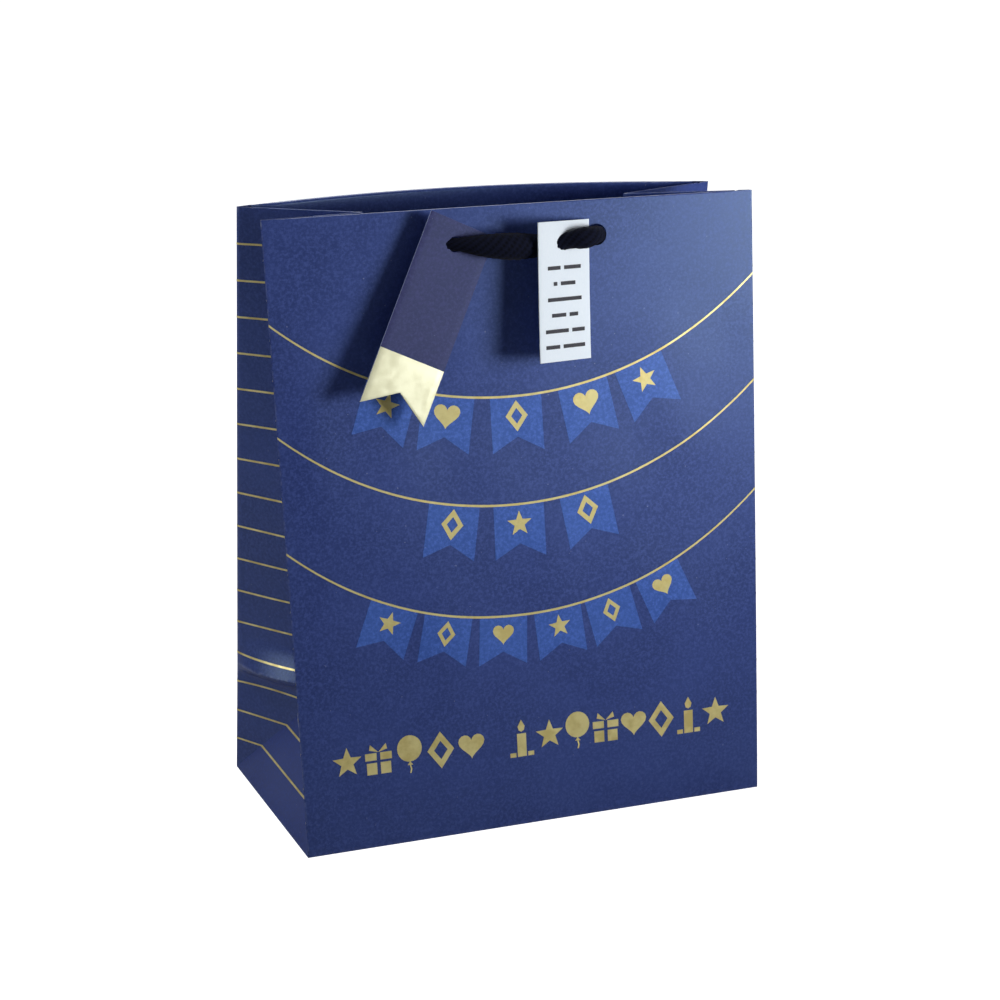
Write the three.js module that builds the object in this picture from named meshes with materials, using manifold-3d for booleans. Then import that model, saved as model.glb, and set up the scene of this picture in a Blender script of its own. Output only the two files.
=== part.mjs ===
// Paper gift bag: a folded paper body with inward gussets, turned-in hems, reinforcing cards,
// a loose base board, two tucked-in cord handles with knots, and two tags threaded on the front one.
// Millimetres, +Z up, the front faces -Y. The origin is on the floor under the middle of the base.
// The body is one folded sheet, and each mesh is one of its faces between two creases.
import * as THREE from 'three';
import { mergeVertices } from 'three/addons/utils/BufferGeometryUtils.js';
import Module from 'manifold-3d';

// ---- Driving dimensions -------------------------------------------------------------------
const bagWidth = 200;
const bagDepth = 100;
const paperHeight = 255;        // along the paper, from the base fold to the top fold
const paper = 0.4;              // thickness of the printed paper
const card = 1.0;               // thickness of the reinforcing cards in the hem
const board = 1.2;              // thickness of the loose base board
const gap = 0.3;                // between pieces that touch
const linerGap = 0.5;           // between a gusset and what is glued inside it

const frontLean = { left: 32, right: 14 };   // how far the top of the front panel leans inward
const backLean = { left: 36.5, right: 46 };  // the same for the back panel
const frontCurve = 1.1;         // 1 is a straight panel, more bends it near the top
const backCreaseShare = 0.22;   // share of the back panel's lean taken below its cross crease
const backBow = 16;             // the top edge of the back panel bows outward by this much
const topDrift = -5;            // the whole mouth stands a little to the left
const foldSkew = { left: 16, right: 0 };     // degrees that a gusset's centre fold stands nearer the front
const foldSkewReach = 90;       // this grows from nothing at the crease to its whole this far above it

const creaseHeight = bagDepth / 2;           // the apex of each gusset's base triangle
const hemHeight = 38;
const hemSideMargin = 16;       // hems and cards stop short of the corner folds
const gussetHemMargin = 24;     // further on the gussets, where they run close behind the front
const foldTrim = 2;             // clearance along each gusset's centre fold
const cornerTrim = 0.6;         // clearance along the other folds

const flapOverlap = 24;         // of the two long base flaps under the middle of the bag
const flapEndTrim = 1.3;        // the long flaps stop short of the base triangles
const endFlapDepth = 44;        // the two short flaps glued inside the ends of the base
const endFlapTrim = 1.5;
const endFlapInset = 2.2;
const boardTrim = { x: 5, y: 4 };            // the loose board is smaller than the base all round

const holeSpacing = 68;         // between the two cord holes of a panel
const holeDrop = 14;            // cord holes below the top fold
const holeDiameter = 10;        // in the outer paper
const innerHoleDiameter = 13;   // in the card and hem, as the cord passes them at a slant
const cordDiameter = 5;         // pinched size, as it passes the holes
const cordSides = 10;
const cordSteps = 78;
const knotDiameter = 13;

const giftTag = { width: 29, length: 79, notch: 9, thickness: 0.6, holeDrop: 8.5, hole: 12 };
const infoTag = { width: 27, length: 55, notch: 0, thickness: 0.4, holeDrop: 8, hole: 12 };

const halfWidth = bagWidth / 2;
const halfDepth = bagDepth / 2;

const navy = { color: 0x2c3a78, roughness: 0.55, metalness: 0 };
const darkNavy = { color: 0x222b63, roughness: 0.6, metalness: 0 };
const whitePaper = { color: 0xe9e6df, roughness: 0.85, metalness: 0 };
const greyBoard = { color: 0xb9b3a6, roughness: 0.9, metalness: 0 };
const cordBlack = { color: 0x0c0f1c, roughness: 0.95, metalness: 0 };
const tagNavy = { color: 0x3d3b5c, roughness: 0.6, metalness: 0 };
const tagWhite = { color: 0xeef3f8, roughness: 0.7, metalness: 0 };

// ---- The folded shape ---------------------------------------------------------------------
const mix = THREE.MathUtils.lerp;
const degrees = THREE.MathUtils.degToRad;
const acrossShare = (x) => (x + halfWidth) / bagWidth;

// A point of the front panel's outer face, x across the paper and up along it.
function frontPoint(x, up) {
  const share = up / paperHeight;
  const lean = mix(frontLean.left, frontLean.right, acrossShare(x));
  const rise = Math.sqrt(paperHeight ** 2 - lean ** 2);
  return new THREE.Vector3(x + topDrift * share, -halfDepth + lean * Math.max(share, 0) ** frontCurve, rise * share);
}

// How much of its lean the back panel has taken at a height: it bends at the cross crease.
function backProfile(up) {
  if (up < creaseHeight) return backCreaseShare * up / creaseHeight;
  return mix(backCreaseShare, 1, (up - creaseHeight) / (paperHeight - creaseHeight));
}

function backPoint(x, up) {
  const share = up / paperHeight;
  const lean = mix(backLean.left, backLean.right, acrossShare(x));
  const rise = Math.sqrt(paperHeight ** 2 - lean ** 2);
  const bow = backBow * (1 - (x / halfWidth) ** 2) * share ** 2;
  return new THREE.Vector3(x + topDrift * share, halfDepth - lean * backProfile(up) + bow, rise * share);
}

// The gusset's centre fold lies half a depth of paper away from the back fold, and as far from the
// front one unless it is skewed toward the front.
function centreFold(side, up) {
  const front = frontPoint(side * halfWidth, up);
  const back = backPoint(side * halfWidth, up);
  const skew = degrees(side < 0 ? foldSkew.left : foldSkew.right);
  const skewShare = THREE.MathUtils.smoothstep(up, creaseHeight, creaseHeight + foldSkewReach);
  const angle = Math.asin((back.y - front.y) / bagDepth) + skew * skewShare;
  const inward = new THREE.Vector3(-side * Math.cos(angle), -Math.sin(angle), 0);
  return back.setZ((front.z + back.z) / 2).addScaledVector(inward, halfDepth);
}

// Below the apex, each gusset half ends on the diagonal from the base corner to the apex.
function innerFold(side, cornerPoint, up) {
  if (up >= creaseHeight) return centreFold(side, up);
  const corner = cornerPoint(side * halfWidth, 0);
  return corner.lerp(centreFold(side, creaseHeight), up / creaseHeight);
}

// ---- Building blocks ----------------------------------------------------------------------
const wasm = await Module();
wasm.setup();

function weld(geometry) {
  geometry.deleteAttribute('normal');
  geometry.deleteAttribute('uv');
  return mergeVertices(geometry, 1e-4);
}

function toSolid(geometry) {
  const welded = weld(geometry);
  return new wasm.Manifold(new wasm.Mesh({
    numProp: 3,
    vertProperties: new Float32Array(welded.attributes.position.array),
    triVerts: new Uint32Array(welded.index.array),
  }));
}

function fromSolid(solid) {
  const mesh = solid.getMesh();
  const geometry = new THREE.BufferGeometry();
  geometry.setAttribute('position', new THREE.BufferAttribute(mesh.vertProperties, 3));
  geometry.setIndex(new THREE.BufferAttribute(mesh.triVerts, 1));
  geometry.computeVertexNormals();
  return geometry;
}

function signedVolume(geometry) {
  const position = geometry.attributes.position;
  const index = geometry.index;
  const corners = [new THREE.Vector3(), new THREE.Vector3(), new THREE.Vector3()];
  let volume = 0;
  for (let i = 0; i < index.count; i += 3) {
    corners.forEach((corner, k) => corner.fromBufferAttribute(position, index.getX(i + k)));
    volume += corners[0].dot(corners[1].clone().cross(corners[2])) / 6;
  }
  return volume;
}

function faceOutward(geometry) {
  if (signedVolume(geometry) > 0) return geometry;
  const turned = Array.from(geometry.index.array);
  for (let i = 0; i < turned.length; i += 3) {
    [turned[i], turned[i + 1]] = [turned[i + 1], turned[i]];
  }
  geometry.setIndex(turned);
  return geometry;
}

// Bends a flat plate onto a surface. surface(a, b) takes two shares from 0 to 1 and gives a point;
// the plate lies between the two depths measured from the surface along its normal.
function bentPlate(surface, nearDepth, farDepth, acrossSteps, upSteps) {
  const geometry = weld(new THREE.BoxGeometry(1, 1, 1, acrossSteps, 1, upSteps));
  const position = geometry.attributes.position;
  const step = 1e-3;
  for (let i = 0; i < position.count; i++) {
    const a = position.getX(i) + 0.5;
    const b = position.getZ(i) + 0.5;
    const depth = mix(nearDepth, farDepth, position.getY(i) + 0.5);
    const along = surface(a + step, b).sub(surface(a - step, b));
    const upward = surface(a, b + step).sub(surface(a, b - step));
    const point = surface(a, b).addScaledVector(along.cross(upward).normalize(), depth);
    position.setXYZ(i, point.x, point.y, point.z);
  }
  geometry.computeVertexNormals();
  return faceOutward(geometry);
}

function makeMesh(name, geometry, look) {
  const mesh = new THREE.Mesh(geometry, new THREE.MeshStandardMaterial(look));
  mesh.name = name;
  return mesh;
}

// ---- Panels, cards and hems -----------------------------------------------------------------
// A plate's normal points to -Y, so "inward" is a negative depth on the front panel and a
// positive one on the back panel.
const panels = {
  front: { point: frontPoint, inward: -1 },
  back: { point: backPoint, inward: 1 },
};
const cardDepth = paper + gap;
const hemDepth = cardDepth + card + gap;

function panelPlate(panel, halfSpan, upSpan, depth, thickness, upSteps) {
  const surface = (a, b) => panel.point(mix(-halfSpan, halfSpan, a), mix(upSpan[0], upSpan[1], b));
  return bentPlate(surface, panel.inward * depth, panel.inward * (depth + thickness), 16, upSteps);
}

function drillForCord(geometry, panel, diameter) {
  let solid = toSolid(geometry);
  for (const side of [-1, 1]) {
    const centre = panel.point(side * holeSpacing / 2, paperHeight - holeDrop);
    const drill = new THREE.CylinderGeometry(diameter / 2, diameter / 2, 20, 20);
    solid = solid.subtract(toSolid(drill.translate(centre.x, centre.y, centre.z)));
  }
  return fromSolid(solid);
}

// The hem is turned in over the card, and the cord passes through all three layers.
function makeTopLayers(name) {
  const panel = panels[name];
  const hemBottom = paperHeight - hemHeight;
  const hemHalfSpan = halfWidth - hemSideMargin;
  const stiffener = panelPlate(panel, hemHalfSpan - 2, [hemBottom + 3, paperHeight - 1], cardDepth, card, 2);
  const hem = panelPlate(panel, hemHalfSpan, [hemBottom, paperHeight], hemDepth, paper, 2);
  return [
    makeMesh(`${name}_top_card`, drillForCord(stiffener, panel, innerHoleDiameter), greyBoard),
    makeMesh(`${name}_hem`, drillForCord(hem, panel, innerHoleDiameter), navy),
  ];
}

function makeFrontPanel() {
  const plate = panelPlate(panels.front, halfWidth, [0, paperHeight], 0, paper, 10);
  return makeMesh('front_panel', drillForCord(plate, panels.front, holeDiameter), navy);
}

// The back panel bends at a cross crease, level with the tips of the base triangles.
function makeBackPanel() {
  const lower = panelPlate(panels.back, halfWidth, [0, creaseHeight - 0.2], 0, paper, 2);
  const upper = panelPlate(panels.back, halfWidth, [creaseHeight + 0.2, paperHeight], 0, paper, 8);
  return [
    makeMesh('back_panel_lower', lower, navy),
    makeMesh('back_panel_upper', drillForCord(upper, panels.back, holeDiameter), navy),
  ];
}

// ---- Gussets --------------------------------------------------------------------------------
const sides = { left: -1, right: 1 };
const halves = {
  front: { point: frontPoint, towardInside: 1 },
  rear: { point: backPoint, towardInside: -1 },
};

// A point of a gusset half, a from its corner fold to its centre fold, measured in millimetres
// from the corner fold. The sheet starts just inside the panel that it is folded from.
function gussetPoint(side, half, fromCorner, up) {
  const seat = new THREE.Vector3(-side * paper, half.towardInside * (paper + gap), 0);
  const corner = half.point(side * halfWidth, up).add(seat);
  const fold = innerFold(side, half.point, up);
  const away = fold.clone().sub(corner);
  return corner.addScaledVector(away.normalize(), fromCorner);
}

function gussetReach(side, half, up) {
  const corner = half.point(side * halfWidth, up);
  return Math.max(corner.distanceTo(innerFold(side, half.point, up)) - foldTrim, 0.4);
}

// Depths are measured toward the outside of the bag.
function gussetPlate(side, half, spanAt, upSpan, depth, thickness, upSteps) {
  const outward = side * half.towardInside;
  const surface = (a, b) => {
    const up = mix(upSpan[0], upSpan[1], b);
    const span = spanAt(up);
    return gussetPoint(side, half, mix(span[0], span[1], a), up);
  };
  return bentPlate(surface, outward * depth, outward * (depth + thickness), 4, upSteps);
}

function makeGussetHalf(sideName, halfName) {
  const side = sides[sideName];
  const half = halves[halfName];
  const fullSpan = (up) => [0, gussetReach(side, half, up)];
  const lower = gussetPlate(side, half, fullSpan, [3, creaseHeight - 0.2], 0, paper, 3);
  const upper = gussetPlate(side, half, fullSpan, [creaseHeight + 0.2, paperHeight], 0, paper, 8);
  const hemSpan = (up) => [gussetHemMargin, gussetReach(side, half, up) - 1];
  const hem = gussetPlate(side, half, hemSpan, [paperHeight - hemHeight, paperHeight], -linerGap - paper, paper, 2);
  return [
    makeMesh(`${sideName}_gusset_${halfName}_lower`, lower, darkNavy),
    makeMesh(`${sideName}_gusset_${halfName}_upper`, upper, darkNavy),
    makeMesh(`${sideName}_gusset_${halfName}_hem`, hem, navy),
  ];
}

// The triangle between the base fold and the two diagonal creases leans inward.
function makeBaseTriangle(sideName) {
  const side = sides[sideName];
  const inset = new THREE.Vector3(-side * paper, 0, 0);
  const front = frontPoint(side * halfWidth, 0).add(inset);
  const back = backPoint(side * halfWidth, 0).add(inset);
  const apex = centreFold(side, creaseHeight);
  const centre = front.clone().add(back).add(apex).divideScalar(3);
  const shrink = 1 - 2 * cornerTrim / (creaseHeight / 3);
  for (const corner of [front, back, apex]) corner.sub(centre).multiplyScalar(shrink).add(centre);
  const surface = (a, b) => front.clone().lerp(back, a).lerp(apex, b * 0.97);
  return makeMesh(`${sideName}_base_triangle`, bentPlate(surface, 0, side * paper, 1, 1), darkNavy);
}

// The side seam: a glued flap inside the right rear gusset, clear of its creases and of the hem.
function makeSeamFlap() {
  const flapSpan = () => [9, 22];
  const upSpan = [creaseHeight + 12, paperHeight - hemHeight - 4];
  const flap = gussetPlate(sides.right, halves.rear, flapSpan, upSpan, -linerGap - paper, paper, 4);
  return makeMesh('side_seam_flap', flap, whitePaper);
}

// ---- Base -----------------------------------------------------------------------------------
function makeBasePlate(name, size, centre, look) {
  const plate = new THREE.BoxGeometry(size.x, size.y, size.z);
  const mesh = makeMesh(name, plate, look);
  mesh.position.copy(centre);
  return mesh;
}

function makeBase() {
  const layer = paper + gap;
  const foldY = halfDepth - layer;            // the two long flaps start inside the base folds
  const flapDepth = foldY + flapOverlap / 2;
  const flap = new THREE.Vector3(bagWidth - 2 * flapEndTrim, flapDepth, paper);
  const flapY = foldY - flapDepth / 2;
  const endFlap = new THREE.Vector3(endFlapDepth, bagDepth - 2 * endFlapTrim, paper);
  const endFlapX = halfWidth - endFlapInset - endFlap.x / 2;
  const boardSize = new THREE.Vector3(bagWidth - 2 * boardTrim.x, bagDepth - 2 * boardTrim.y, board);
  return [
    makeBasePlate('base_flap_rear', flap, new THREE.Vector3(0, flapY, paper / 2), navy),
    makeBasePlate('base_flap_front', flap, new THREE.Vector3(0, -flapY, layer + paper / 2), navy),
    makeBasePlate('base_flap_left', endFlap, new THREE.Vector3(-endFlapX, 0, 2 * layer + paper / 2), whitePaper),
    makeBasePlate('base_flap_right', endFlap, new THREE.Vector3(endFlapX, 0, 2 * layer + paper / 2), whitePaper),
    makeBasePlate('base_board', boardSize, new THREE.Vector3(0, 0, 3 * layer + board / 2), greyBoard),
  ];
}

// ---- Cord handles ---------------------------------------------------------------------------
// Each handle is pushed in as sold: one slack stretch crosses outside between the two holes,
// and a tail hangs inside from each hole to its stop knot.
const cordRoutes = {
  front: [
    [-45.7, -30.5, 101.4],
    [-47.2, -27.7, 131.2],
    [-46.5, -24.5, 161.1],
    [-45.5, -21.4, 190.9],
    [-44.5, -17.7, 220.7],
    [-43.9, -18.1, 231.1],
    [-42.5, -19.6, 235.1],
    [-40.3, -21.9, 238.2],
    [-37.6, -25, 240],
    [-33.7, -29.5, 240.7],
    [-27.5, -33.4, 240.9],
    [-16.6, -36.1, 240.1],
    [3, -35.5, 238.7],
    [8.5, -36.5, 239.3],
    [15, -39.1, 240.8],
    [19.2, -40, 241.4],
    [23.2, -38.8, 241.6],
    [27.7, -34.6, 241.2],
    [30.1, -30.5, 240.1],
    [32.1, -27.3, 237.9],
    [33.7, -24.9, 234.5],
    [34.7, -23.6, 230.3],
    [36, -24.9, 215.4],
    [38.5, -27.9, 185.7],
    [40.8, -30.3, 155.9],
    [42.4, -32.2, 126],
    [42.3, -33.6, 102],
  ],
  back: [
    [-46, 26.1, 100.7],
    [-47.5, 23.5, 130.5],
    [-46.7, 20.8, 160.4],
    [-45.7, 18.7, 190.3],
    [-44.8, 16.4, 220.1],
    [-44.1, 16.7, 229.1],
    [-42.8, 18.3, 233],
    [-40.7, 20.9, 236],
    [-38.1, 24.1, 237.8],
    [-35.2, 27.4, 238.3],
    [-31.5, 29.9, 237.9],
    [-22.1, 32.4, 236.4],
    [0.4, 31.5, 235],
    [18.5, 29.9, 237],
    [23.6, 27.4, 237.7],
    [26.8, 24.5, 238],
    [30, 19.7, 236.9],
    [31.8, 16.5, 234.5],
    [33.2, 14, 231.1],
    [33.9, 12.8, 226.8],
    [34.7, 13.2, 213.4],
    [37.2, 16.3, 183.7],
    [39.8, 18.6, 153.9],
    [41.4, 21.8, 124.2],
    [41.6, 24.3, 100.3],
  ],
};

function makeHandle(name) {
  const points = cordRoutes[name].map((point) => new THREE.Vector3(...point));
  const route = new THREE.CatmullRomCurve3(points, false, 'centripetal');
  const section = new THREE.Shape();
  section.absarc(0, 0, cordDiameter / 2, 0, 2 * Math.PI);
  const options = { extrudePath: route, steps: cordSteps, curveSegments: cordSides / 2, bevelEnabled: false };
  const cord = makeMesh(`${name}_handle_cord`, new THREE.ExtrudeGeometry(section, options), cordBlack);
  const ends = { left: [points[0], points[1]], right: [points.at(-1), points.at(-2)] };
  const knots = Object.entries(ends).map(([end, [tip, previous]]) => {
    const knot = makeMesh(`${name}_knot_${end}`, new THREE.SphereGeometry(knotDiameter / 2, 14, 10), cordBlack);
    const away = tip.clone().sub(previous).normalize();
    knot.position.copy(tip).addScaledVector(away, knotDiameter / 2 + gap);
    return knot;
  });
  return [cord, ...knots];
}

// ---- Tags -----------------------------------------------------------------------------------
// A tag is drawn hanging from its hole, which is its own origin: x across, y up, z toward the viewer.
function tagShape(tag) {
  const top = tag.holeDrop;
  const bottom = top - tag.length;
  const shape = new THREE.Shape();
  shape.moveTo(-tag.width / 2, top);
  shape.lineTo(-tag.width / 2, bottom);
  if (tag.notch > 0) shape.lineTo(0, bottom + tag.notch);
  shape.lineTo(tag.width / 2, bottom);
  shape.lineTo(tag.width / 2, top);
  shape.closePath();
  const hole = new THREE.Path();
  hole.absarc(0, 0, tag.hole / 2, 0, 2 * Math.PI, true);
  shape.holes.push(hole);
  return shape;
}

// pose.swing turns the tag in its own plane, pose.turn brings its left edge forward about its long
// axis, and pose.lean tips its lower end away from the panel.
function makeTag(name, tag, pose, look) {
  const geometry = new THREE.ExtrudeGeometry(tagShape(tag), { depth: tag.thickness, bevelEnabled: false, curveSegments: 12 });
  geometry.translate(0, 0, -tag.thickness / 2);
  const mesh = makeMesh(name, geometry, look);
  const stand = new THREE.Quaternion().setFromAxisAngle(new THREE.Vector3(1, 0, 0), Math.PI / 2 + pose.lean);
  const turn = new THREE.Quaternion().setFromAxisAngle(new THREE.Vector3(0, 1, 0), pose.turn);
  const swing = new THREE.Quaternion().setFromAxisAngle(new THREE.Vector3(0, 0, 1), pose.swing);
  mesh.quaternion.copy(stand).multiply(swing).multiply(turn);
  mesh.position.copy(pose.hole);
  return mesh;
}

const giftTagPose = {
  hole: new THREE.Vector3(-30.5, -31.6, 240.9),
  lean: degrees(-9),
  turn: degrees(4),
  swing: degrees(-25.5),
};
const infoTagPose = {
  hole: new THREE.Vector3(12.5, -37.9, 240.2),
  lean: degrees(-8),
  turn: degrees(20),
  swing: degrees(-2),
};

// ---- The bag ----------------------------------------------------------------------------------
const bag = new THREE.Group();
bag.add(makeFrontPanel(), ...makeBackPanel());
bag.add(...makeTopLayers('front'), ...makeTopLayers('back'));
for (const sideName of ['left', 'right']) {
  bag.add(...makeGussetHalf(sideName, 'front'), ...makeGussetHalf(sideName, 'rear'));
  bag.add(makeBaseTriangle(sideName));
}
bag.add(makeSeamFlap(), ...makeBase());
bag.add(...makeHandle('front'), ...makeHandle('back'));
bag.add(makeTag('gift_tag', giftTag, giftTagPose, tagNavy));
bag.add(makeTag('info_tag', infoTag, infoTagPose, tagWhite));

export default bag;
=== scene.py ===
import math

import bpy
from mathutils import Matrix, Vector, noise


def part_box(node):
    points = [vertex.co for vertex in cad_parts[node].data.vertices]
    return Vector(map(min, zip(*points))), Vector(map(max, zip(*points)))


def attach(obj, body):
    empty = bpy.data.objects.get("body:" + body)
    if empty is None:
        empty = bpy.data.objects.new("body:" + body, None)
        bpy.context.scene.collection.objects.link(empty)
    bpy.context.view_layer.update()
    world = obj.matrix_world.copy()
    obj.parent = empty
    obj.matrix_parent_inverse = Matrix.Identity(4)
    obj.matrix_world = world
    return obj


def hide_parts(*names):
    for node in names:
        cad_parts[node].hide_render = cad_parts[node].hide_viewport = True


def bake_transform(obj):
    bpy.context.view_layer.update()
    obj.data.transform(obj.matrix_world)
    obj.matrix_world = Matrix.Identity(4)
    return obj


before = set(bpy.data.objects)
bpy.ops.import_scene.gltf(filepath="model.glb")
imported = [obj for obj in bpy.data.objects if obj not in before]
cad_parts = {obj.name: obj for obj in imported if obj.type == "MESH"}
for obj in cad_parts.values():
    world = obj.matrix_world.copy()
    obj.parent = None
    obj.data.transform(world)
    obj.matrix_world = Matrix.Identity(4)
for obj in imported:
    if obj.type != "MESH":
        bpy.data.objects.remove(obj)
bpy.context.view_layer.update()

MM = 0.001

# ---- Dimensions shared with the CAD model, in millimetres ----
BAG_WIDTH = 200.0
BAG_DEPTH = 100.0
PAPER_HEIGHT = 255.0  # along the paper, from the base fold to the top
HALF_WIDTH = BAG_WIDTH / 2
HALF_DEPTH = BAG_DEPTH / 2
FRONT_LEAN = (32.0, 14.0)  # how far the top of the front leans inward, at its left and right
BACK_LEAN = (36.5, 46.0)
FRONT_CURVE = 1.1  # power that keeps the front upright at its foot
BACK_CREASE_SHARE = 0.22  # of its lean, which the back has at the cross crease
BACK_BOW = 16.0  # how far the middle of the back's top curves outward
TOP_DRIFT = -5.0  # of the whole top, to the left
FOLD_SKEW = {-1: 16.0, 1: 0.0}  # degrees by which the left and right centre folds are nearer the front
FOLD_SKEW_REACH = 90.0  # above the crease, where the skew is whole
CREASE_HEIGHT = BAG_DEPTH / 2
HEM_HEIGHT = 38.0
HOLE_SPACING = 68.0
HOLE_DROP = 14.0

# ---- Finish dimensions ----
SHEET = 0.35  # the drawn thickness of the paper
FOLD_RADIUS = 0.45
FOLD_SEAT = 0.8  # how far behind its panel a gusset starts
INNER_FOLD_SHADE_WIDTH = 3.0  # the inside is made navy this near the corner folds, as painted shade in the creases
PANEL_HEM_DEPTH = 2.4  # panel, card and hem together
GUSSET_HEM_DEPTH = 0.9
HEM_PLAIN_DEPTH = 0.75  # where the hem lies on the panel with no card between
HEM_CARD_EDGE = (82.0, 92.0)  # the card ends here and the hem settles onto the panel
HEM_CARD_HEIGHT = 35.0  # how far down the card reaches
HEM_REACH = 94.0  # from the middle of a panel; it stops short of the corner folds
GUSSET_HEM_START = 0.12  # as a share of the gusset half
LEFT_FRONT_HEM_START = 0.5
HEM_EDGE = 0.4  # radius of the crisp outer edge of the top
HEM_SHOULDER = 1.1  # radius of the softer inner one
HEM_ROUND_FOLD = 1.9  # how many times its depth a gusset hem stands off its centre fold
CORD_HOLE = 8.6
HEM_HOLE = 10.2  # wider, so that the hem's cut edge stays back from the shell's
HOLE_DIRECTION = Vector((0, 1, 0.1)).normalized()


# ---- Camera ----
def add_camera(azimuth, elevation, roll, distance, target, lens):
    """A camera that looks at target from that azimuth and elevation, as the photograph does."""
    azimuth, elevation, roll = (math.radians(a) for a in (azimuth, elevation, roll))
    flat = math.cos(elevation)
    back = Vector((math.sin(azimuth) * flat, -math.cos(azimuth) * flat, math.sin(elevation)))
    right = (-back).cross(Vector((0, 0, 1))).normalized()
    up = right.cross(-back)
    turned_right = math.cos(roll) * right + math.sin(roll) * up
    turned_up = math.cos(roll) * up - math.sin(roll) * right
    data = bpy.data.cameras.new("camera")
    data.lens = lens
    data.sensor_width = 36.0
    data.clip_start = 0.05
    data.clip_end = 100.0
    camera = bpy.data.objects.new("camera", data)
    bpy.context.scene.collection.objects.link(camera)
    axes = Matrix((turned_right, turned_up, back)).transposed()
    camera.matrix_world = Matrix.Translation(Vector(target) + back * distance) @ axes.to_4x4()
    bpy.context.scene.camera = camera


add_camera(azimuth=-21.766, elevation=17.597, roll=0.356, distance=1.1593,
           target=(0.00148, 0, 0.12387), lens=100.64)


# ---- Small helpers ----
def mix(a, b, t):
    return a + (b - a) * t


def smooth_step(start, end, value):
    t = min(max((value - start) / (end - start), 0.0), 1.0)
    return t * t * (3 - 2 * t)


def spread(start, end, count):
    """count + 1 even values from start to end."""
    return [mix(start, end, i / count) for i in range(count + 1)]


def new_object(name, vertices, faces, materials, smooth=True):
    """A mesh object from millimetre points."""
    mesh = bpy.data.meshes.new(name)
    mesh.from_pydata([v * MM for v in vertices], [], faces)
    for material in materials:
        mesh.materials.append(material)
    mesh.polygons.foreach_set("use_smooth", [smooth] * len(mesh.polygons))
    piece = bpy.data.objects.new(name, mesh)
    bpy.context.scene.collection.objects.link(piece)
    return piece


def grid_faces(rows, columns, closed=False):
    """Quads between rows of points; closed joins the last column to the first."""
    faces = []
    for row in range(rows - 1):
        for column in range(columns if closed else columns - 1):
            following = (column + 1) % columns
            low, high = row * columns, (row + 1) * columns
            faces.append((low + column, low + following, high + following, high + column))
    return faces


def tube_faces(rings, around):
    """The wall of a tube and its two ends."""
    ends = [tuple(reversed(range(around))), tuple(range((rings - 1) * around, rings * around))]
    return grid_faces(rings, around, closed=True) + ends


def apply_modifiers(piece):
    bpy.context.view_layer.update()
    evaluated = piece.evaluated_get(bpy.context.evaluated_depsgraph_get())
    mesh = bpy.data.meshes.new_from_object(evaluated)
    piece.modifiers.clear()
    piece.data = mesh


def weld(piece, distance):
    modifier = piece.modifiers.new("weld", "WELD")
    modifier.merge_threshold = distance * MM


def thicken(piece, thickness, inner_material=0, edge_material=0):
    """Gives a sheet its thickness on the side away from its normals, and applies its modifiers."""
    modifier = piece.modifiers.new("thickness", "SOLIDIFY")
    modifier.thickness = thickness * MM
    modifier.offset = -1
    modifier.material_offset = inner_material
    modifier.material_offset_rim = edge_material
    apply_modifiers(piece)


def round_folds(piece, width, angle):
    modifier = piece.modifiers.new("folds", "BEVEL")
    modifier.width = width * MM
    modifier.segments = 2
    modifier.limit_method = "ANGLE"
    modifier.angle_limit = math.radians(angle)


def drill(piece, centre, direction, diameter, length):
    """Cuts a round hole through a piece."""
    around = 32
    turn = Vector((0, 0, 1)).rotation_difference(direction)
    rings = []
    for end in (-length / 2, length / 2):
        for i in range(around):
            angle = 2 * math.pi * i / around
            rim = Vector((math.cos(angle), math.sin(angle), 0)) * diameter / 2
            rings.append(centre + turn @ (rim + Vector((0, 0, end))))
    cutter = new_object("cutter", rings, tube_faces(2, around), [])
    modifier = piece.modifiers.new("hole", "BOOLEAN")
    modifier.operation = "DIFFERENCE"
    modifier.solver = "EXACT"
    modifier.object = cutter
    apply_modifiers(piece)
    bpy.data.objects.remove(cutter)


def keep_rims_sharp(piece):
    """Shades the face and the wall of a cut hole each on its own."""
    piece.data.set_sharp_from_angle(angle=math.radians(60))


def set_point_values(piece, name, values):
    attribute = piece.data.attributes.new(name, "FLOAT", "POINT")
    attribute.data.foreach_set("value", values)


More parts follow.
